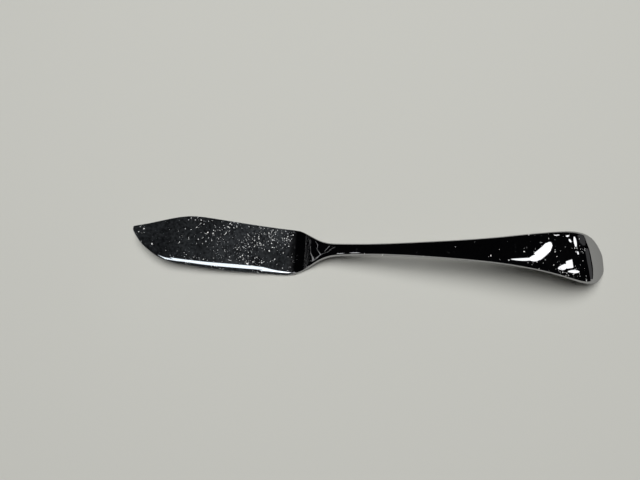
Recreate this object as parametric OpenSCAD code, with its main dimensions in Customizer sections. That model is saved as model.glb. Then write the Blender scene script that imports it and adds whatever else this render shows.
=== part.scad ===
// Fish knife lying face up on a table. Millimetres, +Z up.
// X runs along the knife from the blade's tip to the handle's end, and +Y is the side of the blade's spine.
// The blade is a plate that tips up from its heel. Behind the heel the metal bends up into a slim stem,
// rises in a long arch and turns down again to a broad rounded end. The knife rests on its heel and its end.

/* [Blade] */
// Length of the blade, from its tip to the heel
blade_l = 77.5; // [60:0.1:95]
// Height of the spine's hump, from the knife's middle line
hump_h = 13.8; // [11:0.1:18]
// Depth of the belly, from the knife's middle line
belly_h = 11; // [9:0.1:15]
// Thickness of the blade at its heel
heel_t = 1.6; // [1:0.1:2.4]
// Thickness of the blade at its tip
tip_t = 1.2; // [0.8:0.1:2]
// Width of the bevel along the belly, where it is widest
bevel_w = 3; // [1:0.1:4]
// Thickness that the bevel leaves at the belly's edge
edge_t = 0.5; // [0.3:0.05:0.7]
// Angle at which the blade rises from the table towards its tip
blade_rise = 5; // [0:0.5:9]

/* [Handle] */
// Length of the handle, from the heel to its end
handle_l = 127.5; // [100:0.1:160]
// Width of the metal at the heel, where the handle's neck begins
heel_w = 18.2; // [14:0.1:22]
// Width of the stem at its narrowest
stem_w = 5.2; // [4:0.1:8]
// Thickness of the stem
stem_t = 3.4; // [2.4:0.1:4.4]
// Height of the arch's middle line over the table
arch_h = 16.7; // [10:0.1:24]
// Width of the handle's broad end
end_w = 21.3; // [15:0.1:26]
// Thickness of the handle's broad end
end_t = 2; // [1.4:0.1:3]
// Rise of the handle's rounded top over its edges
crown_h = 0.35; // [0.1:0.05:0.6]

/* [Edges] */
// Width of the rounding along the blade's edges
blade_round = 0.3; // [0.2:0.05:1]
// Width of the rounding along the handle's edges
handle_round = 1.3; // [0.8:0.1:2]

/* [Hidden] */

// Height that is worn flat off the underside where the knife rests
worn_h = 0.2;
// The bevel has a steep facet at its edge and a slack one inside it. The ridge between them lies at this
// share of the bevel's width, and at this share of its rise
ridge_share = 0.45;
ridge_rise_share = 0.68;

// Steps in which the surface is drawn between one control row and the next
row_steps = 3;
// Control rows at each end of the knife over which the metal closes to a point
close_rows = 2;

// Angles of the points round an edge, from the underside to the top
edge_angles = [-90, -60, -30, 0, 30, 60, 90];
// Places of the points across the flat of the metal, as shares of its width
flat_shares = [0.2, 0.5, 0.8];

// The knife's surface follows rows of control values. A row holds the place along X, the height of the
// middle line, the spine's and the belly's distance from the middle line, the thickness, the width of
// the edge rounding, the crown and how far the belly is bevelled instead of rounded.

// Blade: place along it, spine, belly, thickness gained since the tip, bevel
blade_shares = [
    [1.000, 0.525, 0.530, 0.0, 0.45],
    [1.000, 0.535, 0.490, 0.0, 0.45],
    [0.972, 0.575, 0.190, 0.0, 0.45],
    [0.910, 0.655, -0.225, 0.1, 0.5],
    [0.800, 0.850, -0.715, 0.2, 0.55],
    [0.680, 1.022, -0.785, 0.3, 0.6],
    [0.560, 0.976, -0.890, 0.5, 0.75],
    [0.360, 0.850, -0.965, 0.7, 1],
    [0.170, 0.753, -0.965, 0.9, 0.75],
    [0.060, 0.717, -1.000, 1.0, 0.4],
    [0.020, 0.700, -0.890, 1.0, 0],
];
// Heel and neck: place along the handle, height on the arch, width from the stem's to the heel's,
// thickness gained since the heel, crown
neck_shares = [
    [0.010, 0.000, 0.900, 0.05, 0],
    [0.029, 0.080, 0.680, 0.15, 0.2],
    [0.060, 0.180, 0.300, 0.4, 0.7],
    [0.092, 0.255, 0.085, 0.8, 1],
    [0.125, 0.340, 0.020, 1, 1],
];
// Stem and broad end: place along the handle, height on the arch, width from the stem's to the end's,
// thickness gained since the end, crown
grip_shares = [
    [0.175, 0.420, 0.000, 1, 1],
    [0.260, 0.560, -0.020, 0.97, 1],
    [0.390, 0.735, 0.070, 0.85, 1],
    [0.515, 0.850, 0.190, 0.7, 1],
    [0.625, 0.955, 0.335, 0.55, 1],
    [0.705, 1.000, 0.510, 0.4, 1],
    [0.775, 0.965, 0.680, 0.3, 1],
    [0.840, 0.850, 0.865, 0.2, 1],
    [0.890, 0.645, 1.005, 0.1, 1],
    [0.935, 0.430, 0.995, 0.05, 1],
    [0.967, 0.220, 0.790, 0, 1],
    [0.993, 0.035, 0.280, 0, 0.5],
    [1.000, -0.060, 0.010, 0, 0],
];
// The last row closes the end to a point on the middle line
close_share = -0.060;

function mix(a, b, share) = a + (b - a) * share;
function on_arch(t, share) = mix(t / 2 - worn_h, arch_h, share);

blade_rows = [
    for (s = blade_shares)
        let (t = mix(tip_t, heel_t, s[3]), x = s[0] * blade_l)
        [-x, t / 2 - worn_h + x * tan(blade_rise), s[1] * hump_h, s[2] * belly_h, t, blade_round, 0, s[4]]
];
neck_rows = [
    for (s = neck_shares)
        let (t = mix(heel_t, stem_t, s[3]), w = mix(stem_w, heel_w, s[2]) / 2)
        [s[0] * handle_l, on_arch(t, s[1]), w, -w, t, mix(blade_round, handle_round, s[3]), s[4] * crown_h, 0]
];
grip_rows = [
    for (s = grip_shares)
        let (t = mix(end_t, stem_t, s[3]), w = mix(stem_w, end_w, s[2]) / 2)
        [s[0] * handle_l, on_arch(t, s[1]), w, -w, t, handle_round, s[4] * crown_h, 0]
];
end_row = [handle_l, on_arch(end_t, close_share), 0, 0, end_t, handle_round, 0, 0];

// The first and last rows are repeated, so that the surface starts and ends on them
control_rows = concat([blade_rows[0], blade_rows[0]], blade_rows, neck_rows, grip_rows, [end_row, end_row, end_row]);
last_place = len(control_rows) - 3;
// The blade and the handle meet at the neck's second control row
seam_place = len(blade_rows) + 2;

// Row at a place between control rows: a smooth blend of the four that lie around it
function blend(rows, i, f) =
    (rows[i] * (1 - f) ^ 3 + rows[i + 1] * (3 * f ^ 3 - 6 * f ^ 2 + 4)
    + rows[i + 2] * (3 * f ^ 2 + 3 * f + 1 - 3 * f ^ 3) + rows[i + 3] * f ^ 3) / 6;
function row_at(place) = let (i = min(floor(place), last_place - 1)) blend(control_rows, i, place - i);

// Slope of the middle line at a place, in degrees
function slope_at(place) =
    let (
        reach = 1 / row_steps / 4,
        run = row_at(min(place + reach, last_place)) - row_at(max(place - reach, 0))
    )
    atan2(run[1], run[0]);

// A thin edge that is closed by an arc: the share of the thickness left at a distance from the edge
function arc_share(distance, radius) = distance >= radius ? 1 : sqrt(max(0, 1 - (1 - distance / radius) ^ 2));

// Share of the bevel's rise at a share of its width: the lower of its two facets
function rise_share(share) =
    min(share * ridge_rise_share / ridge_share, 1 - (1 - share) * (1 - ridge_rise_share) / (1 - ridge_share));

// Point of the spine's edge, and of the belly's, at one angle of the rounding: place across, then height
function spine_point(row, reach, angle) = [row[2] - reach * (1 - cos(angle)), row[4] / 2 * sin(angle)];
function belly_point(row, reach, angle) =
    let (
        span = min(bevel_w, (row[2] - row[3]) * 0.6),
        share = abs(angle) / 90,
        edge = min(edge_t, row[4]),
        rounded = [row[3] + reach * (1 - cos(angle)), row[4] / 2 * sin(angle)],
        bevelled = angle > 0
            ? [row[3] + span * share, mix(edge, row[4], rise_share(share)) - row[4] / 2]
            : [row[3], edge * (1 - share) - row[4] / 2]
    )
    mix(rounded, bevelled, row[7]);

// Outline of the metal across the knife at a row: from the spine's underside over the top to the belly's
function outline(row) =
    let (
        width = row[2] - row[3],
        reach = min(row[5], width / 2),
        crown = row[6] * min(1, width / stem_w),
        spine = [for (a = edge_angles) spine_point(row, reach, a)],
        belly = [for (k = [len(edge_angles) - 1 : -1 : 0]) belly_point(row, reach, edge_angles[k])],
        top_from = spine[len(spine) - 1],
        top_to = belly[0],
        under_from = belly[len(belly) - 1],
        under_to = spine[0]
    )
    concat(
        spine,
        [for (s = flat_shares) mix(top_from, top_to, s) + [0, 4 * s * (1 - s) * crown]],
        belly,
        [for (s = flat_shares) mix(under_from, under_to, s)]
    );

// Ring of points round the metal at a place, square to the middle line and flat where it meets the table
function ring_at(place) =
    let (
        row = row_at(place),
        a = slope_at(place),
        thin = arc_share(handle_l - row[0], end_t / 2) * arc_share(row[0] + blade_l, tip_t / 2)
    )
    [
        for (p = outline(row))
            [row[0] - sin(a) * p[1] * thin, p[0], max(0, row[1] + cos(a) * p[1] * thin)]
    ];
function middle_at(place) = let (row = row_at(place)) [row[0], (row[2] + row[3]) / 2, max(0, row[1])];

// Solid through rings, closed by a fan of faces round a point at each end. The rings turn clockwise as
// seen from the first point
module skin(first_point, rings, last_point) {
    n = len(rings[0]);
    last = len(rings) - 1;
    points = concat([for (r = rings) each r], [first_point, last_point]);
    open_first = [for (k = [0 : n - 1]) [k, (k + 1) % n, (last + 1) * n]];
    sides = [
        for (i = [0 : last - 1], k = [0 : n - 1])
            let (a = i * n + k, b = i * n + (k + 1) % n)
            each [[a, a + n, b], [b, a + n, b + n]]
    ];
    close_last = [for (k = [0 : n - 1]) [last * n + k, (last + 1) * n + 1, last * n + (k + 1) % n]];
    polyhedron(points, concat(open_first, sides, close_last));
}

function turned(ring) = [for (k = [len(ring) - 1 : -1 : 0]) ring[k]];

module blade() {
    steps = (seam_place - close_rows) * row_steps;
    rings = [for (k = [0 : steps]) turned(ring_at(seam_place - k / row_steps))];
    color("silver")
        skin(middle_at(seam_place), rings, middle_at(0));
}

module handle() {
    steps = (last_place - seam_place - close_rows) * row_steps;
    rings = [for (k = [0 : steps]) ring_at(seam_place + k / row_steps)];
    color("gainsboro")
        skin(middle_at(seam_place), rings, middle_at(last_place));
}

blade();
handle();
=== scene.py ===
# %% [markdown]
# # A polished fish knife on a pale table
# The knife is one bent strip of mirror-polished steel: a thin blade with a humped spine, a slim stem
# that rises in a long arch, and a broad end that turns down to the table. Polished metal has almost no
# colour of its own. What the eye reads is what stands round it, bent by the metal's curves, so the
# lesson has two halves: a surface that is smooth enough to reflect, and surroundings that are worth
# reflecting.

import math

import bpy
from mathutils import Matrix, Vector


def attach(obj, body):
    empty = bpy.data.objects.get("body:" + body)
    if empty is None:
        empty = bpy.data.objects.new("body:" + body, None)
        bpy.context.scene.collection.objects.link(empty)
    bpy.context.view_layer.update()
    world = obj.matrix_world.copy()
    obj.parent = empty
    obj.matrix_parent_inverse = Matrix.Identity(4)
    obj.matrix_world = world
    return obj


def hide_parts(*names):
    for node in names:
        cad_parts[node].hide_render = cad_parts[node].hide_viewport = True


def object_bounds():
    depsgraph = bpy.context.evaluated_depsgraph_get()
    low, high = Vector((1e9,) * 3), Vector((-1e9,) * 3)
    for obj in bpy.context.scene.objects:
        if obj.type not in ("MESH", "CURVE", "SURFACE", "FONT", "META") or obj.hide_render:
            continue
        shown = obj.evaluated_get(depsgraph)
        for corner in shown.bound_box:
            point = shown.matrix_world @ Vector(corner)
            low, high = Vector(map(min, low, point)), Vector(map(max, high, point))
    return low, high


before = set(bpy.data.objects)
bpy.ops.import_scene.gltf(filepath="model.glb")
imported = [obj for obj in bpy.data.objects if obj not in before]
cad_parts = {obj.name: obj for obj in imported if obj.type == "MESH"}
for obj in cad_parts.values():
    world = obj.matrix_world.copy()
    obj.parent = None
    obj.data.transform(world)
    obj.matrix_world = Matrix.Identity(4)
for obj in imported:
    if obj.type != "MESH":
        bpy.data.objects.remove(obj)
part_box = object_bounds()
print("nodes:", sorted(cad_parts))
print("part box in mm:", [[round(1000 * c, 1) for c in corner] for corner in part_box])

# %% [markdown]
# ## The camera
# The photograph looks almost straight down with a wide lens, and the handle's end, which is nearer to
# the picture's side, shows its turned-down tip a little from the left. The perspective of the table
# gives the camera's tilt, and the knife's length gives its height. The camera's matrix is built from
# three directions, because an angle triple would hide what the numbers mean.

# %% Camera
MM = 0.001
PICTURE_WIDTH_PX = 640
FOCAL_PX = 481
SENSOR_MM = 36
NEAREST_MM = 10
FARTHEST_M = 20
camera_place = Vector((28.2, -52.9, 208)) * MM
camera_forward = Vector((-0.0964, 0.2716, -0.9576))
camera_right = Vector((0.9947, 0.0622, -0.0825))

forward = camera_forward.normalized()
right = (camera_right - camera_right.dot(forward) * forward).normalized()
up = right.cross(forward)
camera_data = bpy.data.cameras.new("camera")
camera_data.sensor_width = SENSOR_MM
camera_data.lens = FOCAL_PX / PICTURE_WIDTH_PX * SENSOR_MM
camera_data.clip_start = NEAREST_MM * MM
camera_data.clip_end = FARTHEST_M
camera = bpy.data.objects.new("camera", camera_data)
turn = Matrix((right, up, -forward)).transposed().to_4x4()
camera.matrix_world = Matrix.Translation(camera_place) @ turn
bpy.context.scene.collection.objects.link(camera)
bpy.context.scene.camera = camera
print("lens in mm:", round(camera_data.lens, 2))

# %% [markdown]
# ## The knife's surface as rows of control values
# The metal is one smooth skin from tip to end. A row of values fixes the skin at a few places: where the
# middle line runs, how far the spine and the belly reach to its sides, how thick the metal is, and how
# its edges are rounded. Between the rows a cubic blend runs, the curve that a thin bent ruler takes. It
# bends without a jump in curvature, and that matters here: a mirror shows every such jump as a kink. A
# subdivided cage would bend as smoothly, but each of its corners would have to be placed by hand, while
# rows follow from a few sizes. The sizes are the part's own, in millimetres, and the shares are given
# places along them.

# %% Sizes of the knife, in millimetres
BLADE_LENGTH = 77.5
HUMP_HEIGHT = 13.8
BELLY_DEPTH = 11.0
HEEL_THICKNESS = 1.6
TIP_THICKNESS = 1.2
BEVEL_WIDTH = 3.0
BEVEL_EDGE = 0.5
RIDGE_SHARE = 0.45
RIDGE_RISE_SHARE = 0.68
BLADE_RISE_DEG = 5
HANDLE_LENGTH = 127.5
HEEL_WIDTH = 18.2
STEM_WIDTH = 5.2
STEM_THICKNESS = 3.4
ARCH_HEIGHT = 16.7
END_WIDTH = 21.3
END_THICKNESS = 2.0
CROWN_HEIGHT = 0.35
BLADE_ROUND = 0.3
HANDLE_ROUND = 1.3
WORN_HEIGHT = 0.2
print("knife's length in mm:", BLADE_LENGTH + HANDLE_LENGTH)

# %% Shares of those sizes, row by row
# Blade: place along it, spine, belly, thickness gained since the tip, bevel
BLADE_SHARES = (
    (1.000, 0.525, 0.530, 0.0, 0.45),
    (1.000, 0.535, 0.490, 0.0, 0.45),
    (0.972, 0.575, 0.190, 0.0, 0.45),
    (0.910, 0.655, -0.225, 0.1, 0.5),
    (0.800, 0.850, -0.715, 0.2, 0.55),
    (0.680, 1.022, -0.785, 0.3, 0.6),
    (0.560, 0.976, -0.890, 0.5, 0.75),
    (0.360, 0.850, -0.965, 0.7, 1),
    (0.170, 0.753, -0.965, 0.9, 0.75),
    (0.060, 0.717, -1.000, 1.0, 0.4),
    (0.020, 0.700, -0.890, 1.0, 0),
)
# Neck: place along the handle, height on the arch, width between stem and heel, thickness gained, crown
NECK_SHARES = (
    (0.010, 0.000, 0.900, 0.05, 0),
    (0.029, 0.080, 0.680, 0.15, 0.2),
    (0.060, 0.180, 0.300, 0.4, 0.7),
    (0.092, 0.255, 0.085, 0.8, 1),
    (0.125, 0.340, 0.020, 1, 1),
)
# Stem and end: place along the handle, height on the arch, width between stem and end, thickness, crown
GRIP_SHARES = (
    (0.175, 0.420, 0.000, 1, 1),
    (0.260, 0.560, -0.020, 0.97, 1),
    (0.390, 0.735, 0.070, 0.85, 1),
    (0.515, 0.850, 0.190, 0.7, 1),
    (0.625, 0.955, 0.335, 0.55, 1),
    (0.705, 1.000, 0.510, 0.4, 1),
    (0.775, 0.965, 0.680, 0.3, 1),
    (0.840, 0.850, 0.865, 0.2, 1),
    (0.890, 0.645, 1.005, 0.1, 1),
    (0.935, 0.430, 0.995, 0.05, 1),
    (0.967, 0.220, 0.790, 0, 1),
    (0.993, 0.035, 0.280, 0, 0.5),
    (1.000, -0.060, 0.010, 0, 0),
)
CLOSE_SHARE = -0.060
print("rows:", len(BLADE_SHARES), len(NECK_SHARES), len(GRIP_SHARES))


# %% From shares to rows
def mix(a, b, share):
    return a + (b - a) * share


def on_arch(thickness, share):
    return mix(thickness / 2 - WORN_HEIGHT, ARCH_HEIGHT, share)


def blade_row(along, spine, belly, gained, bevel):
    thickness = mix(TIP_THICKNESS, HEEL_THICKNESS, gained)
    x = along * BLADE_LENGTH
    height = thickness / 2 - WORN_HEIGHT + x * math.tan(math.radians(BLADE_RISE_DEG))
    return (-x, 0, height), (spine * HUMP_HEIGHT, belly * BELLY_DEPTH, thickness), (BLADE_ROUND, 0, bevel)


def handle_row(along, rise, half_width, thickness, rounding, crown):
    middle = (along * HANDLE_LENGTH, 0, on_arch(thickness, rise))
    return middle, (half_width, -half_width, thickness), (rounding, crown * CROWN_HEIGHT, 0)


# The blend is cubic: it joins four rows, and it reaches an end row that stands there three times.
BLEND_DEGREE = 3
rows = [blade_row(*shares) for shares in BLADE_SHARES]
rows = [rows[0]] * (BLEND_DEGREE - 1) + rows
for along, rise, wide, gained, crown in NECK_SHARES:
    rows.append(handle_row(along, rise, mix(STEM_WIDTH, HEEL_WIDTH, wide) / 2,
                           mix(HEEL_THICKNESS, STEM_THICKNESS, gained),
                           mix(BLADE_ROUND, HANDLE_ROUND, gained), crown))
for along, rise, wide, gained, crown in GRIP_SHARES:
    rows.append(handle_row(along, rise, mix(STEM_WIDTH, END_WIDTH, wide) / 2,
                           mix(END_THICKNESS, STEM_THICKNESS, gained), HANDLE_ROUND, crown))
end_row = handle_row(1, CLOSE_SHARE, 0, END_THICKNESS, HANDLE_ROUND, 0)
rows += [end_row] * BLEND_DEGREE
LAST_PLACE = len(rows) - BLEND_DEGREE
SEAM_PLACE = len(BLADE_SHARES) + BLEND_DEGREE - 1
print("the surface runs from place 0 to", LAST_PLACE, "and the blade ends at", SEAM_PLACE)

# %% [markdown]
# ## A mesh of points that carries the rows
# Geometry Nodes can't read a Python list, but it can read a mesh. Each row becomes one point, whose
# place is the middle line and whose other values ride along as named attributes. Two more such meshes
# hold the list of rings and the list of points round a ring, so the tree itself stays free of any size.


# %% Points with attributes
def point_cloud(name, places, **vectors):
    """A mesh of loose points in metres, with extra vector attributes, also in metres."""
    mesh = bpy.data.meshes.new(name)
    mesh.from_pydata([Vector(p) * MM for p in places], [], [])
    for label, values in vectors.items():
        layer = mesh.attributes.new(label, "FLOAT_VECTOR", "POINT")
        for k, value in enumerate(values):
            layer.data[k].vector = Vector(value) * MM
    thing = bpy.data.objects.new(name, mesh)
    bpy.context.scene.collection.objects.link(thing)
    return thing


control_rows = point_cloud("control_rows", [r[0] for r in rows],
                           reach=[r[1] for r in rows], edge=[r[2] for r in rows])
print("control rows:", len(control_rows.data.vertices))

# %% [markdown]
# Round a ring the points are close together where the metal turns over its edge and wide apart on the
# flats. A point is named by two numbers: how far across the metal it lies, from -1 at the belly to 1 at
# the spine, and the angle by which the rounding has turned there, from -90 under the metal to 90 on top.

# %% Points round one ring
EDGE_STEPS = 36
FLAT_STEPS = 14
edge_angles = [-90 + 180 * k / EDGE_STEPS for k in range(EDGE_STEPS + 1)]
flat_places = [1 - 2 * k / FLAT_STEPS for k in range(1, FLAT_STEPS)]
ring_points = [(1, a, 0) for a in edge_angles]
ring_points += [(s, 90, 0) for s in flat_places]
ring_points += [(-1, a, 0) for a in reversed(edge_angles)]
ring_points += [(-s, -90, 0) for s in flat_places]
ring_list = point_cloud("ring_points", [Vector(p) / MM for p in ring_points + ring_points[:1]])
print("points round a ring:", len(ring_points))


# %% Rings along each piece
RINGS_PER_ROW = 20
CLOSE_PLACES = 1.6


def stations(name, first, last, tip_place):
    """Places of the rings. The second number is 0 where a ring is drawn together to one point."""
    count = round(abs(last - first) * RINGS_PER_ROW)
    places = [(mix(first, last, k / count), 1, 0) for k in range(count + 1)]
    points = [(tip_place, 0, 0)] + places + [(last, 0, 0)]
    print(name, "has", len(points), "rings")
    return point_cloud(name, [Vector(p) / MM for p in points])


blade_stations = stations("blade_stations", CLOSE_PLACES, SEAM_PLACE, 0)
handle_stations = stations("handle_stations", LAST_PLACE - CLOSE_PLACES, SEAM_PLACE, LAST_PLACE)


# %% [markdown]
# ## Writing node trees in short lines
# A formula with forty steps is hard to read as node calls. This small helper makes one node a call and
# hands back its output, so a tree can be written almost as the formula would be. In the cells below, t
# is always the tree that is being written, and given holds the tree's own inputs.

# %% A helper for node trees
class Tree:
    """A node tree that is written line by line. Inputs are other nodes' outputs, or plain numbers."""

    def __init__(self, tree):
        self.tree = tree

    def node(self, kind, *values, **settings):
        made = self.tree.nodes.new(kind)
        for key, value in settings.items():
            setattr(made, key, value)
        for socket, value in zip([s for s in made.inputs if s.enabled], values):
            self.feed(socket, value)
        return made

    def feed(self, socket, value):
        if isinstance(value, bpy.types.NodeSocket):
            self.tree.links.new(value, socket)
        elif value is not None:
            socket.default_value = value

    def math(self, operation, *values):
        return self.node("ShaderNodeMath", *values, operation=operation).outputs[0]

    def vector(self, operation, *values):
        made = self.node("ShaderNodeVectorMath", *values, operation=operation)
        return next(s for s in made.outputs if s.enabled)

    def scale(self, vector, factor):
        made = self.fed("ShaderNodeVectorMath", {"operation": "SCALE"}, Vector=vector, Scale=factor)
        return made.outputs["Vector"]

    def mix(self, a, b, share):
        return self.math("MULTIPLY_ADD", self.math("SUBTRACT", b, a), share, a)

    def split(self, vector):
        return self.node("ShaderNodeSeparateXYZ", vector).outputs

    def fed(self, kind, settings, **values):
        """A node whose inputs are set by name, for the kinds that hide some of theirs."""
        made = self.tree.nodes.new(kind)
        for key, value in settings.items():
            setattr(made, key, value)
        for label, value in values.items():
            self.feed(made.inputs[label.replace("_", " ")], value)
        return made

    def point_count(self, mesh):
        size = self.node("GeometryNodeAttributeDomainSize", mesh, component="MESH")
        return size.outputs["Point Count"]

    def sample(self, geometry, value, index):
        """The vector that one point of a mesh carries."""
        made = self.fed("GeometryNodeSampleIndex", {"data_type": "FLOAT_VECTOR", "clamp": True},
                        Geometry=geometry, Value=value, Index=index)
        return made.outputs["Value"]

    def tell(self):
        print(self.tree.name, "has", len(self.tree.nodes), "nodes")


print("a Tree's calls:", [name for name in vars(Tree) if not name.startswith("_")])


# %% A node group with named sockets
def new_tree(name, kind, inputs, outputs):
    """A node group with named sockets: name, type and, for an input, its usual value."""
    tree = bpy.data.node_groups.new(name, kind)
    for label, socket_type, *usual in inputs:
        socket = tree.interface.new_socket(name=label, in_out="INPUT", socket_type=socket_type)
        if usual:
            socket.default_value = usual[0]
    for label, socket_type in outputs:
        tree.interface.new_socket(name=label, in_out="OUTPUT", socket_type=socket_type)
    made = Tree(tree)
    made.given = made.node("NodeGroupInput").outputs
    made.result = made.node("NodeGroupOutput").inputs
    return made


FLOAT = "NodeSocketFloat"
VECTOR = "NodeSocketVector"
COLOUR = "NodeSocketColor"
GEOMETRY = "NodeSocketGeometry"
OBJECT = "NodeSocketObject"
MATERIAL = "NodeSocketMaterial"
print("kinds of socket:", FLOAT, VECTOR, COLOUR, GEOMETRY, OBJECT, MATERIAL)

# %% [markdown]
# ## The blend between rows
# A smooth value at any place is a weighted mean of the four rows round it. The four weights are the
# cubic B-spline's, and they always add up to one. The group does this for all three vectors of a row at
# once.

# %% Node group: the row at a place
row_tree = new_tree(
    "row_at_place", "GeometryNodeTree",
    [("Rows", GEOMETRY), ("Place", FLOAT)],
    [("Middle", VECTOR), ("Reach", VECTOR), ("Edge", VECTOR)],
)
t = row_tree
given = t.given
last_start = t.math("SUBTRACT", t.point_count(given["Rows"]), BLEND_DEGREE + 1)
start = t.math("MINIMUM", t.math("FLOOR", given["Place"]), last_start)
f = t.math("SUBTRACT", given["Place"], start)
f_square = t.math("MULTIPLY", f, f)
f_cube = t.math("MULTIPLY", f_square, f)
g = t.math("SUBTRACT", 1, f)
weights = (
    t.math("POWER", g, 3),
    t.math("ADD", t.math("MULTIPLY_ADD", f_cube, 3, 4), t.math("MULTIPLY", f_square, -6)),
    t.math("ADD", t.math("MULTIPLY", t.math("SUBTRACT", f_square, f_cube), 3),
           t.math("MULTIPLY_ADD", f, 3, 1)),
    f_cube,
)
WEIGHT_SUM = 6
for output, label in (("Middle", "position"), ("Reach", "reach"), ("Edge", "edge")):
    source = t.node("GeometryNodeInputNamedAttribute", label, data_type="FLOAT_VECTOR").outputs["Attribute"]
    total = None
    for k, weight in enumerate(weights):
        row = t.sample(given["Rows"], source, t.math("ADD", start, k))
        term = t.scale(row, t.math("DIVIDE", weight, WEIGHT_SUM))
        total = term if total is None else t.vector("ADD", total, term)
    t.feed(t.result[output], total)
t.tell()

# %% [markdown]
# ## The skin
# A flat grid with one column for each ring and one line for each point round it is bent into the knife.
# For each grid point the tree looks up its ring's place and its angle, asks the group for the row there,
# and works out how far across and how far up the point lies. Up is square to the middle line, as it is
# on a bent strip, so the slope of the middle line is needed too: it comes from two rows just before and
# after. The bevel is cut in two facets, steep at the edge and slack inside, and the ridge between them
# is rounded, because a polishing wheel never leaves a true corner.

# %% Node group: the knife's skin
BEVEL_LIMIT = 0.6
skin_tree = new_tree(
    "metal_skin", "GeometryNodeTree",
    [
        ("Geometry", GEOMETRY), ("Stations", OBJECT), ("Ring Points", OBJECT),
        ("Bevel Width", FLOAT, 0.002), ("Bevel Edge", FLOAT, 0.0005), ("Ridge Share", FLOAT, 0.5),
        ("Ridge Rise Share", FLOAT, 0.7), ("Ridge Blend", FLOAT, 0.15), ("Slope Reach", FLOAT, 0.1),
        ("Blade Length", FLOAT, 0.08), ("Handle Length", FLOAT, 0.13), ("Tip Radius", FLOAT, 0.0006),
        ("End Radius", FLOAT, 0.001), ("Crown Width", FLOAT, 0.005), ("Merge Distance", FLOAT, 0.0000001),
        ("Box Low", VECTOR), ("Box High", VECTOR), ("Material", MATERIAL),
    ],
    [("Geometry", GEOMETRY)],
)
t = skin_tree
given = t.given


def points_of(label):
    cloud = t.node("GeometryNodeObjectInfo", given[label]).outputs["Geometry"]
    return cloud, t.point_count(cloud)


def numbers_at(cloud, index):
    position = t.node("GeometryNodeInputPosition").outputs[0]
    return t.split(t.sample(cloud, position, index))


station_cloud, station_count = points_of("Stations")
ring_cloud, ring_count = points_of("Ring Points")
grid = t.node("GeometryNodeMeshGrid", 1, 1, station_count, ring_count).outputs["Mesh"]
index = t.node("GeometryNodeInputIndex").outputs[0]
ring_number = t.math("FLOOR", t.math("DIVIDE", t.math("ADD", index, 0.5), ring_count))
point_number = t.math("SUBTRACT", index, t.math("MULTIPLY", ring_number, ring_count))
place, kept = numbers_at(station_cloud, ring_number)[:2]
across, angle_deg = numbers_at(ring_cloud, point_number)[:2]
t.tell()


# %% Node group: the row at each ring, and the slope there
def row_at(where):
    return t.node("GeometryNodeGroup", given["Geometry"], where, node_tree=row_tree.tree).outputs


last_place = t.math("SUBTRACT", t.point_count(given["Geometry"]), BLEND_DEGREE)
here = row_at(place)
ahead = row_at(t.math("MINIMUM", t.math("ADD", place, given["Slope Reach"]), last_place))
behind = row_at(t.math("MAXIMUM", t.math("SUBTRACT", place, given["Slope Reach"]), 0))
along = t.vector("NORMALIZE", t.vector("SUBTRACT", ahead["Middle"], behind["Middle"]))
along_x, _, along_z = t.split(along)
middle_x, _, middle_z = t.split(here["Middle"])
spine, belly, thick = t.split(here["Reach"])
rounding, crown, bevelled = t.split(here["Edge"])
bevelled = t.math("DIVIDE", bevelled, MM)
t.tell()

# %% [markdown]
# The top is crowned and its edges are rounded, and the two have to meet without a kink, or the polish
# shows a false line along the whole handle. So the rounding stops a little before it is level, at the
# angle where it slopes just as the crown does. Two rounds of the same sum are enough to find that angle.

# %% Node group: the angle at which the rounding meets the crown
width = t.math("SUBTRACT", spine, belly)
reach = t.math("MINIMUM", rounding, t.math("DIVIDE", width, 2))
half_thick = t.math("DIVIDE", thick, 2)
crown_share = t.math("MINIMUM", 1, t.math("DIVIDE", width, given["Crown Width"]))
crown_wanted = t.math("MULTIPLY", crown, crown_share)


def flat_width(cosine_at_end):
    lost = t.math("MULTIPLY", reach, t.math("SUBTRACT", 1, cosine_at_end))
    return t.math("SUBTRACT", width, t.math("MULTIPLY", lost, 2))


def end_of_rounding(cosine_guess):
    slope = t.math("DIVIDE", t.math("MULTIPLY", crown_wanted, 4), flat_width(cosine_guess))
    return t.math("ARCTAN2", half_thick, t.math("MULTIPLY", reach, slope))


FIRST_GUESS = 0.5
end_angle = end_of_rounding(t.math("COSINE", end_of_rounding(FIRST_GUESS)))
end_slope = t.math("DIVIDE", t.math("MULTIPLY", half_thick, t.math("COSINE", end_angle)),
                   t.math("MULTIPLY", reach, t.math("SINE", end_angle)))
crown_height = t.math("DIVIDE", t.math("MULTIPLY", flat_width(t.math("COSINE", end_angle)), end_slope), 4)

on_top = t.math("GREATER_THAN", angle_deg, 0)
turned_share = t.math("DIVIDE", t.math("ABSOLUTE", angle_deg), 90)
angle = t.mix(t.math("RADIANS", angle_deg), t.math("MULTIPLY", end_angle, turned_share), on_top)
cosine = t.math("COSINE", angle)
sine = t.math("SINE", angle)
t.tell()

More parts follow.
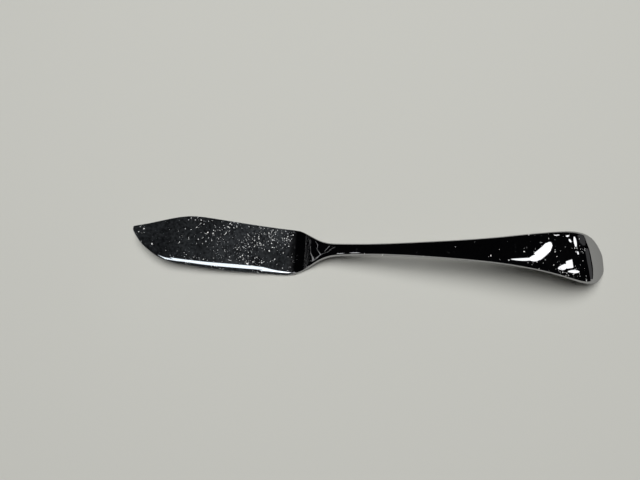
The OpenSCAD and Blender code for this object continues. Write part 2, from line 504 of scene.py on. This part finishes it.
# %% Node group: the belly's edge when it is rounded, and when it is bevelled
round_in = t.math("MULTIPLY", reach, t.math("SUBTRACT", 1, cosine))
span = t.math("MINIMUM", given["Bevel Width"], t.math("MULTIPLY", width, BEVEL_LIMIT))
bevel_in = t.math("MULTIPLY", t.math("MULTIPLY", span, turned_share), on_top)
ridge, ridge_rise = given["Ridge Share"], given["Ridge Rise Share"]
steep_slope = t.math("DIVIDE", ridge_rise, ridge)
slack_slope = t.math("DIVIDE", t.math("SUBTRACT", 1, ridge_rise), t.math("SUBTRACT", 1, ridge))
steep_share = t.math("MULTIPLY", turned_share, steep_slope)
slack_share = t.math("SUBTRACT", 1, t.math("MULTIPLY", t.math("SUBTRACT", 1, turned_share), slack_slope))
rise_share = t.math("SMOOTH_MIN", steep_share, slack_share, given["Ridge Blend"])
edge_left = t.math("MINIMUM", given["Bevel Edge"], thick)
over_edge = t.mix(edge_left, thick, rise_share)
under_edge = t.math("MULTIPLY", edge_left, t.math("SUBTRACT", 1, turned_share))
bevel_up = t.math("SUBTRACT", t.mix(under_edge, over_edge, on_top), half_thick)
round_up = t.math("MULTIPLY", half_thick, sine)
belly_in = t.mix(round_in, bevel_in, bevelled)
t.tell()

# %% Node group: where the point lies, with the spine's edge at 1, the belly's at -1 and the flats between
BELLY_TEST = -0.999
spine_at = t.math("SUBTRACT", spine, round_in)
belly_at = t.math("ADD", belly, belly_in)
across_share = t.math("MULTIPLY_ADD", across, 0.5, 0.5)
side = t.mix(belly_at, spine_at, across_share)
belly_side = t.math("LESS_THAN", across, BELLY_TEST)
crown_up = t.math("MULTIPLY", crown_height, t.math("SUBTRACT", 1, t.math("MULTIPLY", across, across)))
flat_up = t.math("MULTIPLY_ADD", crown_up, on_top, round_up)
height_up = t.mix(flat_up, bevel_up, t.math("MULTIPLY", bevelled, belly_side))
t.tell()


# %% Node group: the ends close on an arc, and the metal is flat on the table
def arc_share(distance, radius):
    open_share = t.math("MAXIMUM", 0, t.math("SUBTRACT", 1, t.math("DIVIDE", distance, radius)))
    return t.math("SQRT", t.math("MAXIMUM", 0, t.math("SUBTRACT", 1, t.math("POWER", open_share, 2))))


thin = t.math("MULTIPLY",
              arc_share(t.math("SUBTRACT", given["Handle Length"], middle_x), given["End Radius"]),
              arc_share(t.math("ADD", middle_x, given["Blade Length"]), given["Tip Radius"]))
up_kept = t.math("MULTIPLY", t.math("MULTIPLY", height_up, thin), kept)
side_kept = t.mix(t.math("DIVIDE", t.math("ADD", spine, belly), 2), side, kept)
point = t.node(
    "ShaderNodeCombineXYZ",
    t.math("SUBTRACT", middle_x, t.math("MULTIPLY", along_z, up_kept)),
    side_kept,
    t.math("MAXIMUM", 0, t.math("ADD", middle_z, t.math("MULTIPLY", along_x, up_kept))),
).outputs[0]
boxed = t.vector("MINIMUM", t.vector("MAXIMUM", point, given["Box Low"]), given["Box High"])
placed = t.node("GeometryNodeSetPosition", grid, True, boxed).outputs[0]
merged = t.node("GeometryNodeMergeByDistance", placed, True, given["Merge Distance"]).outputs[0]
smooth = t.node("GeometryNodeSetShadeSmooth", merged).outputs[0]
realised = t.node("GeometryNodeRealizeInstances", smooth).outputs[0]
finished = t.node("GeometryNodeSetMaterial", realised, True, given["Material"]).outputs[0]
t.feed(t.result["Geometry"], finished)
t.tell()

# %% [markdown]
# ## The finish: polished steel that has been used
# A used knife shows four things on its mirror. Dust and dried drops are small bright dots. Lint and
# short scratches are fine light lines that run every way. The blade, which is washed and wiped most, has
# a thin grey-blue veil that dulls its black. And a few long hairlines run with the polish. All but the
# veil are marks that are scattered over the surface, so one group scatters them, and a second one puts
# them together. A Voronoi texture gives each mark a cell of its own, and the cell's colour is a throw of
# dice for the mark's turn, size and bend. A second throw decides whether it is drawn at all and how far
# it has faded. A painted picture of wear could do this too, but it would blur close up and would have to
# be fitted to the shape.

# %% Node group: marks, one to a cell
marks_tree = new_tree(
    "scattered_marks", "ShaderNodeTree",
    [("Position", VECTOR), ("Cell Size", FLOAT, 1), ("Length", FLOAT, 0.3), ("Width", FLOAT, 0.2),
     ("Bend", FLOAT, 0), ("Turn", FLOAT, 0), ("Turn Spread", FLOAT, 6.283), ("Chance", FLOAT, 0.5),
     ("Fading", FLOAT, 0), ("Seed", FLOAT, 0)],
    [("Mask", FLOAT)],
)
t = marks_tree
given = t.given
METRE_MM = 1000
SMALLEST_MARK = 0.3

cells_a_metre = t.math("DIVIDE", METRE_MM, given["Cell Size"])
shifted = t.vector("ADD", t.scale(given["Position"], cells_a_metre), given["Seed"])
cells = t.fed("ShaderNodeTexVoronoi", {"voronoi_dimensions": "2D"}, Vector=shifted, Scale=1)
own = t.vector("SUBTRACT", shifted, cells.outputs["Position"])
own_x, own_y = t.split(own)[:2]
lot_turn, lot_size, lot_bend = t.split(cells.outputs["Color"])
dice = t.fed("ShaderNodeTexWhiteNoise", {"noise_dimensions": "2D"}, Vector=cells.outputs["Position"])
lot_chance = dice.outputs["Value"]
lot_fade = t.math("POWER", t.split(dice.outputs["Color"])[1], 2)
t.tell()

# %% Node group: the shape of one mark, a small bent oval
turn = t.math("MULTIPLY_ADD", t.math("SUBTRACT", lot_turn, 0.5), given["Turn Spread"], given["Turn"])
cosine, sine = t.math("COSINE", turn), t.math("SINE", turn)
along = t.math("ADD", t.math("MULTIPLY", own_x, cosine), t.math("MULTIPLY", own_y, sine))
aside = t.math("SUBTRACT", t.math("MULTIPLY", own_y, cosine), t.math("MULTIPLY", own_x, sine))
bend = t.math("MULTIPLY", t.math("SUBTRACT", lot_bend, 0.5), given["Bend"])
aside = t.math("SUBTRACT", aside, t.math("MULTIPLY", bend, t.math("MULTIPLY", along, along)))
grown = t.math("MULTIPLY_ADD", t.math("MULTIPLY", lot_size, lot_size), 1 - SMALLEST_MARK, SMALLEST_MARK)
half_grown = t.math("DIVIDE", grown, 2)
half_length = t.math("MULTIPLY", t.math("DIVIDE", given["Length"], given["Cell Size"]), half_grown)
half_width = t.math("MULTIPLY", t.math("DIVIDE", given["Width"], given["Cell Size"]), half_grown)
reached = t.math("ADD", t.math("POWER", t.math("DIVIDE", along, half_length), 2),
                 t.math("POWER", t.math("DIVIDE", aside, half_width), 2))
inside = t.math("LESS_THAN", reached, 1)
drawn = t.math("LESS_THAN", lot_chance, given["Chance"])
strength = t.math("SUBTRACT", 1, t.math("MULTIPLY", lot_fade, given["Fading"]))
t.feed(t.result["Mask"], t.math("MULTIPLY", t.math("MULTIPLY", inside, drawn), strength))
t.tell()

# %% [markdown]
# The second group works in millimetres too. Wear grows along the knife from one place to another and
# stops where the metal bends up out of reach, and there the metal has its fresh colour again. The marks
# come in clusters, because drops and dust gather in patches, and the veil has a coarse pattern and a
# fine grain.

# %% Node group: wear on polished metal
wear_tree = new_tree(
    "polish_wear", "ShaderNodeTree",
    [
        ("Position", VECTOR), ("Worn Metal", COLOUR), ("Fresh Metal", COLOUR), ("Dust", COLOUR),
        ("Polish", FLOAT, 0.05), ("Haze", FLOAT, 0.1), ("Haze Size", FLOAT, 8),
        ("Veil", FLOAT, 0.05), ("Veil Size", FLOAT, 12), ("Veil Grain", FLOAT, 1.5),
        ("Specks", FLOAT, 0.5), ("Big Share", FLOAT, 0.7), ("Lint", FLOAT, 0.3), ("Scratches", FLOAT, 0.3),
        ("Cluster Size", FLOAT, 10), ("Cluster Level", FLOAT, 0.45), ("Worn From", FLOAT, 0),
        ("Worn To", FLOAT, 50), ("First Share", FLOAT, 0.3), ("Fresh From", FLOAT, 500),
        ("Fresh To", FLOAT, 600),
    ],
    [("Colour", COLOUR), ("Roughness", FLOAT), ("Metallic", FLOAT), ("Height", FLOAT)],
)
t = wear_tree
given = t.given
print("polish_wear takes", len(wear_tree.tree.interface.items_tree), "inputs and outputs")


# %% Node group: noise, a range and a set of marks, each as one call
def noise(size_mm, detail=2, roughness=0.5):
    scale = t.math("DIVIDE", METRE_MM, size_mm)
    return t.fed("ShaderNodeTexNoise", {}, Vector=given["Position"], Scale=scale, Detail=detail,
                 Roughness=roughness).outputs["Fac"]


def between(value, low, high, to_low=0.0, to_high=1.0):
    """The value's place between low and high, as a number from to_low to to_high."""
    return t.fed("ShaderNodeMapRange", {}, Value=value, From_Min=low, From_Max=high,
                 To_Min=to_low, To_Max=to_high).outputs["Result"]


def marks(**settings):
    group = t.node("ShaderNodeGroup", node_tree=marks_tree.tree)
    t.feed(group.inputs["Position"], given["Position"])
    for label, value in settings.items():
        t.feed(group.inputs[label.replace("_", " ").title()], value)
    return group.outputs["Mask"]


t.tell()

# %% Node group: where the wear is
CLUSTER_EDGE = 0.2
BETWEEN_CLUSTERS = 0.12
place_mm = t.math("MULTIPLY", t.split(given["Position"])[0], METRE_MM)
used = between(place_mm, given["Worn From"], given["Worn To"], given["First Share"], 1)
wiped = between(place_mm, given["Fresh From"], given["Fresh To"], 1, 0)
cluster = between(noise(given["Cluster Size"]), given["Cluster Level"],
                  t.math("ADD", given["Cluster Level"], CLUSTER_EDGE), BETWEEN_CLUSTERS, 1)
crowd = t.math("MULTIPLY", t.math("MULTIPLY", used, wiped), cluster)
t.tell()

# %% Node group: the four kinds of wear
many = t.math("MULTIPLY", crowd, given["Specks"])
few = t.math("MULTIPLY", crowd, given["Lint"])
big = t.math("MULTIPLY", many, given["Big Share"])
dots = marks(cell_size=1.7, length=1.2, width=0.7, bend=1.2, chance=big, fading=0.8, seed=3.1)
fine_dots = marks(cell_size=0.9, length=0.66, width=0.4, bend=1.2, chance=many, fading=0.8, seed=17.7)
lint = marks(cell_size=2.4, length=2.4, width=0.24, bend=2.4, chance=few, fading=0.7, seed=8.3)
dust = t.math("MAXIMUM", dots, t.math("MAXIMUM", fine_dots, lint))
nicks = marks(cell_size=1.7, length=1.5, width=0.1, bend=0.6, chance=given["Scratches"], seed=29.9)
hairlines = marks(cell_size=17, length=15, width=0.12, turn=0.1, turn_spread=0.7,
                  chance=given["Scratches"], seed=41.3)
scratch = t.math("MAXIMUM", nicks, hairlines)
t.tell()

# %% Node group: the veil, which lies in patches, and the haze in the polish
LEAST_VEIL = 0.4
VEIL_FROM, VEIL_TO = 0.35, 0.65
HAZE_FROM, HAZE_TO = 0.42, 0.7
veil_level = t.math("MULTIPLY", given["Veil"],
                    t.math("MULTIPLY", wiped, between(used, 0, 1, to_low=LEAST_VEIL)))
coarse = between(noise(given["Veil Size"], detail=5, roughness=0.6), VEIL_FROM, VEIL_TO,
                 to_low=0.55, to_high=1.45)
fine = between(noise(given["Veil Grain"], detail=3, roughness=0.7), VEIL_FROM, VEIL_TO,
               to_low=0.3, to_high=1.6)
veil = t.math("MULTIPLY", veil_level, t.math("MULTIPLY", coarse, fine))
haze_patches = between(noise(given["Haze Size"], detail=4, roughness=0.6), HAZE_FROM, HAZE_TO)
haze = t.math("MULTIPLY", haze_patches, given["Haze"])
t.tell()

# %% Node group: what the wear does to the metal
SCRATCH_ROUGHNESS = 0.2
DUST_ROUGHNESS = 0.6
SCRATCH_COVER = 0.14
DUST_COVER = 0.9
DUST_RISE = 0.5
roughness = t.math("ADD", given["Polish"], t.math("MULTIPLY_ADD", scratch, SCRATCH_ROUGHNESS, haze))
t.feed(t.result["Roughness"], t.mix(roughness, DUST_ROUGHNESS, dust))
covered = t.math("MAXIMUM", t.math("MULTIPLY", scratch, SCRATCH_COVER),
                 t.math("MULTIPLY", dust, DUST_COVER))
t.feed(t.result["Metallic"], t.math("SUBTRACT", 1, t.math("MAXIMUM", veil, covered)))
t.feed(t.result["Height"], t.math("SUBTRACT", t.math("MULTIPLY", dust, DUST_RISE), scratch))


def blended(share, at_zero, at_one):
    """A mix of two colours. A Mix node hides its number and vector inputs, so the colours are 6 and 7."""
    made = t.tree.nodes.new("ShaderNodeMix")
    made.data_type = "RGBA"
    for number, value in ((0, share), (6, at_zero), (7, at_one)):
        t.feed(made.inputs[number], value)
    return made.outputs[2]


metal = blended(wiped, given["Fresh Metal"], given["Worn Metal"])
t.feed(t.result["Colour"], blended(dust, metal, given["Dust"]))
t.tell()

# %% [markdown]
# Each piece's own material is short. The masks go into one Principled shader, and the dust and scratches
# lift or sink the surface through a Bump node by a few thousandths of a millimetre. The veil costs the
# shader a few hundredths of its Metallic, which lets a little of the colour show as a plain, dull grey.
# The shader's Specular Tint tones down the dust's own sheen, so the specks don't glint. It also dims the
# metal's mirror at grazing angles, a painted shade that darkens the table seen in the turned-down end and
# along the stem's lower edge.

# %% Materials of the two pieces
BLADE_METAL = (0.385, 0.42, 0.45, 1)
HANDLE_METAL = (0.42, 0.42, 0.43, 1)
FRESH_METAL = HANDLE_METAL
DUST = (0.92, 0.92, 0.9, 1)
# Grey Specular Tint: a duller glint on the dust, and painted shade in the metal's grazing reflections.
DUST_AND_GRAZING_SHADE_TINT = (0.6, 0.6, 0.6, 1)
BUMP_MM = 0.003


def new_material(name):
    material = bpy.data.materials.new(name)
    material.use_nodes = True
    return material, next(n for n in material.node_tree.nodes if n.type == "BSDF_PRINCIPLED")


def polished_steel(name, worn_metal, **wear):
    material, shader = new_material(name)
    m = Tree(material.node_tree)
    group = m.node("ShaderNodeGroup", node_tree=wear_tree.tree)
    m.feed(group.inputs["Position"], m.node("ShaderNodeTexCoord").outputs["Object"])
    m.feed(group.inputs["Worn Metal"], worn_metal)
    m.feed(group.inputs["Fresh Metal"], FRESH_METAL)
    m.feed(group.inputs["Dust"], DUST)
    for label, value in wear.items():
        group.inputs[label.replace("_", " ").title()].default_value = value
    bump = m.fed("ShaderNodeBump", {}, Strength=1, Distance=BUMP_MM * MM, Height=group.outputs["Height"])
    m.feed(shader.inputs["Base Color"], group.outputs["Colour"])
    m.feed(shader.inputs["Roughness"], group.outputs["Roughness"])
    m.feed(shader.inputs["Metallic"], group.outputs["Metallic"])
    m.feed(shader.inputs["Normal"], bump.outputs["Normal"])
    # Painted shade: this tint dims the metal's grazing reflections as well as the dust's glint.
    shader.inputs["Specular Tint"].default_value = DUST_AND_GRAZING_SHADE_TINT
    print("material", name, "made")
    return material


print("colours of the metal:", BLADE_METAL, HANDLE_METAL)

# %% The blade's steel and the handle's
blade_steel = polished_steel(
    "blade_steel", BLADE_METAL,
    polish=0.05, haze=0.06, haze_size=9, veil=0.06, veil_size=14, veil_grain=1.2,
    specks=0.6, big_share=0.5, lint=0.5, scratches=0.1, cluster_size=10, cluster_level=0.43,
    worn_from=-60, worn_to=-8, first_share=0.2, fresh_from=-7, fresh_to=-3)
handle_steel = polished_steel(
    "handle_steel", HANDLE_METAL,
    polish=0.01, haze=0.02, haze_size=7, veil=0.002, veil_size=10, veil_grain=1.2,
    specks=0.7, big_share=0.25, lint=0.15, scratches=0.06, cluster_size=6, cluster_level=0.5,
    worn_from=84, worn_to=104, first_share=0.05, fresh_from=112, fresh_to=119)

# %% [markdown]
# ## Making the two pieces
# The blade and the handle are two runs of the same skin. Each piece gets the tree as a modifier, its
# sizes are set by each socket's identifier, and the result is turned into a plain mesh. Edges that bend
# by more than a few degrees, such as the bevel's inner line, are marked sharp so that the polish breaks
# there. The visual model may not leave the packed part's box, so the tree gets that box, drawn in by a
# hair.


# %% Build a piece and make it a plain mesh
SHARP_DEG = 9
HAIR_M = 0.000001
box_low = [c + HAIR_M for c in part_box[0]]
box_high = [c - HAIR_M for c in part_box[1]]


def make_piece(name, station_list, material):
    base = bpy.data.objects.new(name + "_rows", control_rows.data)
    bpy.context.scene.collection.objects.link(base)
    modifier = base.modifiers.new("skin", "NODES")
    modifier.node_group = skin_tree.tree
    sizes = {
        "Stations": station_list, "Ring Points": ring_list,
        "Bevel Width": BEVEL_WIDTH * MM, "Bevel Edge": BEVEL_EDGE * MM,
        "Ridge Share": RIDGE_SHARE, "Ridge Rise Share": RIDGE_RISE_SHARE,
        "Blade Length": BLADE_LENGTH * MM, "Handle Length": HANDLE_LENGTH * MM,
        "Tip Radius": TIP_THICKNESS / 2 * MM, "End Radius": END_THICKNESS / 2 * MM,
        "Crown Width": STEM_WIDTH * MM, "Box Low": box_low, "Box High": box_high, "Material": material,
    }
    for item in skin_tree.tree.interface.items_tree:
        if item.in_out == "INPUT" and item.name in sizes:
            modifier[item.identifier] = sizes[item.name]
    base.update_tag()
    bpy.context.view_layer.update()
    evaluated = base.evaluated_get(bpy.context.evaluated_depsgraph_get())
    mesh = bpy.data.meshes.new_from_object(evaluated)
    mesh.name = name
    bpy.data.objects.remove(base)
    mesh.set_sharp_from_angle(angle=math.radians(SHARP_DEG))
    piece = bpy.data.objects.new(name, mesh)
    bpy.context.scene.collection.objects.link(piece)
    print(name, "has", len(mesh.polygons), "faces and", len(mesh.vertices), "points")
    return piece


print("an edge that bends by more than", SHARP_DEG, "degrees stays sharp")

# %% The blade and the handle
blade = make_piece("polished_blade", blade_stations, blade_steel)
handle = make_piece("polished_handle", handle_stations, handle_steel)
for helper in (control_rows, ring_list, blade_stations, handle_stations):
    bpy.data.objects.remove(helper)
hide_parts("blade")
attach(blade, "root")
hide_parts("handle")
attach(handle, "root")

# %% [markdown]
# ## The table and the light
# The table is a plain pale sheet under one broad soft lamp, nearly overhead and a little to the far
# side, so the knife's shadow is short and falls softly to the near side. The lamp is hidden from the
# polish: what the flat metal shows is the dark space above, which is why polished steel can look black
# on a pale table.

# %% Table
TABLE_COLOUR = (0.56, 0.56, 0.52, 1)
TABLE_ROUGHNESS = 0.85
TABLE_HALF_M = 1.5
table_mesh = bpy.data.meshes.new("table")
corners = [(-TABLE_HALF_M, -TABLE_HALF_M, 0), (TABLE_HALF_M, -TABLE_HALF_M, 0),
           (TABLE_HALF_M, TABLE_HALF_M, 0), (-TABLE_HALF_M, TABLE_HALF_M, 0)]
table_mesh.from_pydata(corners, [], [(0, 1, 2, 3)])
table = bpy.data.objects.new("table", table_mesh)
bpy.context.scene.collection.objects.link(table)
table_material, table_shader = new_material("pale_table")
table_shader.inputs["Base Color"].default_value = TABLE_COLOUR
table_shader.inputs["Roughness"].default_value = TABLE_ROUGHNESS
table_mesh.materials.append(table_material)
print("table of", 2 * TABLE_HALF_M, "m")

# %% [markdown]
# A lamp is named by where it stands as seen from the knife: its bearing round the table, from the
# handle's direction towards the spine's side, and its angle from straight overhead. Its size is an angle
# too, and its level is how bright its face looks, so a lamp can be moved without changing how it shows
# in the metal. Cards are lamps that show only in the polish, as the white cards round a product do. A
# picture wrapped round the scene could feed the polish too, but it is always far away, and this metal
# lies so low that it matters how near the things are that it mirrors.


# %% A lamp by bearing, and a level one by place
LAMP_DISTANCE_M = 1.2


def area_light(name, shape, size_m, level, matrix, in_polish):
    data = bpy.data.lights.new(name, "AREA")
    data.shape = shape
    data.size, data.size_y = size_m
    area = data.size * data.size_y * (math.pi / 4 if shape == "ELLIPSE" else 1)
    data.energy = level * math.pi * area
    thing = bpy.data.objects.new(name, data)
    thing.matrix_world = matrix
    thing.visible_camera = False
    thing.visible_glossy = in_polish
    thing.visible_diffuse = not in_polish
    bpy.context.scene.collection.objects.link(thing)


def lamp(name, aim_mm, bearing_deg, from_overhead_deg, size_deg, level,
         roll_deg=0, shape="ELLIPSE", in_polish=True):
    bearing, tilt = math.radians(bearing_deg), math.radians(from_overhead_deg)
    out = math.sin(tilt)
    towards = Vector((out * math.cos(bearing), out * math.sin(bearing), math.cos(tilt)))
    roll = Matrix.Rotation(math.radians(roll_deg), 4, "Z")
    turn = towards.to_track_quat("Z", "Y").to_matrix().to_4x4() @ roll
    place = Matrix.Translation(Vector(aim_mm) * MM + towards * LAMP_DISTANCE_M)
    size_m = [2 * LAMP_DISTANCE_M * math.tan(math.radians(angle) / 2) for angle in size_deg]
    area_light(name, shape, size_m, level, place @ turn, in_polish)


def level_card(name, centre_mm, size_mm, turn_deg, level):
    turn = Matrix.Rotation(math.radians(turn_deg), 4, "Z")
    area_light(name, "RECTANGLE", [length * MM for length in size_mm], level,
               Matrix.Translation(Vector(centre_mm) * MM) @ turn, True)


print("lamps stand", LAMP_DISTANCE_M, "m from what they light")

# %% The table's light
HEEL = (0, 0, 0)
lamp("soft_overhead", HEEL, 90, 12, (50, 50), 5.7, in_polish=False)
print("lamps and cards:", len(bpy.data.lights))

# %% [markdown]
# The handle's end curves two ways, so it gathers a whole quarter of the space round it. Its long bright
# hook is one tall card with a foot, a top and a thin tail, and a second card lower down makes the
# shorter mark beside it. The row of small streaks near the spine's edge comes from narrow cards close to
# the horizon.

# %% Cards in the handle's end
HANDLE_BEND = (105, 0, 14)
HOOK_LEVEL = 2.5
lamp("hook", HANDLE_BEND, 24.2, 35.6, (6.6, 14), HOOK_LEVEL, roll_deg=16, shape="RECTANGLE")
lamp("hook_foot", HANDLE_BEND, 26.8, 41.8, (5.8, 10), HOOK_LEVEL, roll_deg=10)
lamp("hook_top", HANDLE_BEND, 18, 27, (5, 11), HOOK_LEVEL, roll_deg=14)
lamp("hook_tail", HANDLE_BEND, 15, 17.5, (2.6, 18), HOOK_LEVEL, roll_deg=6)
lamp("short_mark", HANDLE_BEND, 10.4, 65.5, (3.4, 11.5), HOOK_LEVEL, roll_deg=4, shape="RECTANGLE")
lamp("short_mark_top", HANDLE_BEND, 8.4, 54, (2.6, 16), HOOK_LEVEL, roll_deg=9)
lamp("short_mark_side", HANDLE_BEND, 7.3, 70, (1.3, 19), HOOK_LEVEL, roll_deg=5)
lamp("far_streak", HANDLE_BEND, 23.8, 70, (1.2, 6), HOOK_LEVEL, roll_deg=-10)
lamp("near_streak", HANDLE_BEND, 20.8, 72.5, (1.3, 4), HOOK_LEVEL, roll_deg=-20)
lamp("low_streak", HANDLE_BEND, 19.3, 79.8, (4, 3.5), HOOK_LEVEL)
lamp("low_spot", HANDLE_BEND, 15, 80.8, (1.2, 1.6), HOOK_LEVEL)
lamp("side_streak", HANDLE_BEND, 31, 55, (0.9, 7), HOOK_LEVEL, roll_deg=-24)
print("lamps and cards:", len(bpy.data.lights))

# %% [markdown]
# The bevel mirrors what is low on the belly's side. Its cards are level and hang only 10 to 25 mm over
# the table, because a card high up, which would light the bevel as well, would also draw a white line
# along the whole stem. Two more small cards, at 60 mm, give the stem its two short glints.

# %% Cards in the bevel and the stem
STRIP_LEVEL = 2.6
level_card("bevel_middle", (-41, -13, 25), (46, 10), 0, STRIP_LEVEL)
level_card("bevel_tip", (-73, -22, 25), (22, 11), 28, STRIP_LEVEL)
level_card("bevel_heel", (-11.9, -16, 10), (13.5, 8), -23, STRIP_LEVEL)
level_card("stem_glint", (-14, -50, 60), (10, 20), 0, STRIP_LEVEL)
level_card("stem_glint_2", (0, -45, 60), (5, 20), 0, STRIP_LEVEL)
print("lamps and cards:", len(bpy.data.lights))

# %% [markdown]
# The neck bends up and narrows at once, so it draws a thin bar in the distance out into a thin line. Two
# bent frames of such bars, one inside the other, give the neck its two V-shaped lines. Their corners
# were found by following the ray from the camera to the neck and on to a level plane over the table.

# %% Dim frames that the neck draws out into thin grey lines
FRAME_LEVEL = 0.55
FRAME_HEIGHT = 300


def frame_bars(name, corners_mm, width_mm):
    """Level bars that run from corner to corner."""
    for k, (start, end) in enumerate(zip(corners_mm, corners_mm[1:])):
        run = Vector(end) - Vector(start)
        middle = (Vector(start) + Vector(end)) / 2
        level_card(name + "_" + str(k), (middle.x, middle.y, FRAME_HEIGHT), (run.length, width_mm),
                   math.degrees(math.atan2(run.y, run.x)), FRAME_LEVEL)


frame_bars("outer_frame", [(-640, 234), (-706, 227), (-728, 212), (-712, 189), (-643, 157), (-297, -7)], 3)
frame_bars("outer_frame_side", [(-298, -13), (-224, 243)], 7)
frame_bars("inner_frame", [(-480, 230), (-542, 190), (-536, 167), (-368, 25)], 4)
frame_bars("inner_frame_side", [(-358, 60), (-322, 346)], 7)
print("lamps and cards:", len(bpy.data.lights))

# %% [markdown]
# The tip of the handle turns down so far that it mirrors the table out to its edge, as a pale cap. Three
# low cards stand beside it and shape the cap's border. A black one darkens the mirrored table beyond the
# border, a painted shade. Two dim ones glow faintly and leave a grey strip and a grey patch above it, a
# painted reflection. They are meshes and not lamps, because a lamp can't be bent.

# %% Low upright cards beside the handle's tip
BLACK = (0, 0, 0, 1)
WHITE = (1, 1, 1, 1)


# An upright card glows at its level and shows only in the polish: a painted reflection, or painted shade
# when its level is 0.
def upright_card(name, x_mm, posts_mm, level):
    """A card that shows only in the polish. Each post is its place along Y, its foot and its top."""
    mesh = bpy.data.meshes.new(name)
    corners = [Vector((x_mm, y, z)) * MM for y, foot, top in posts_mm for z in (foot, top)]
    faces = [(2 * k, 2 * k + 1, 2 * k + 3, 2 * k + 2) for k in range(len(posts_mm) - 1)]
    mesh.from_pydata(corners, [], faces)
    material, shader = new_material(name)
    shader.inputs["Base Color"].default_value = BLACK
    shader.inputs["Specular IOR Level"].default_value = 0
    shader.inputs["Emission Color"].default_value = WHITE
    shader.inputs["Emission Strength"].default_value = level
    mesh.materials.append(material)
    card = bpy.data.objects.new(name, mesh)
    bpy.context.scene.collection.objects.link(card)
    card.visible_camera = card.visible_diffuse = card.visible_shadow = False
    print(name, "has", len(faces), "faces")


SHADE_CARD_X = 200
GLOW_CARD_X = 199
# The black card is painted shade: it darkens the mirrored table past the cap's border.
upright_card("dark_card", SHADE_CARD_X,
             [(1, 2, 12), (5, 0, 12), (11, 0, 13), (28, 4.5, 15), (36, 8.5, 15), (50, 11, 15)], 0)
# The grey and dim cards glow faintly, a painted reflection of a grey strip and a grey patch in the cap.
upright_card("grey_card", GLOW_CARD_X, [(1, 3, 9), (6, 3, 11), (16, 5, 14), (28, 7, 15)], 0.1)
upright_card("dim_card", GLOW_CARD_X, [(31, 12, 17), (34, 10.5, 21), (42, 10, 22), (47, 12.5, 15)], 0.08)

# %% The dark space round the table
NEAR_BLACK = (0.002, 0.002, 0.0025, 1)
world = bpy.data.worlds.new("dark_space")
bpy.context.scene.world = world
world.use_nodes = True
background = world.node_tree.nodes["Background"]
background.inputs["Color"].default_value = NEAR_BLACK
background.inputs["Strength"].default_value = 1
bpy.context.scene.view_settings.view_transform = "Standard"
print("background:", NEAR_BLACK)

# %% [markdown]
# ## Closing
# The visual model has to stay inside the packed part's box, and the skin tree holds every point inside it.
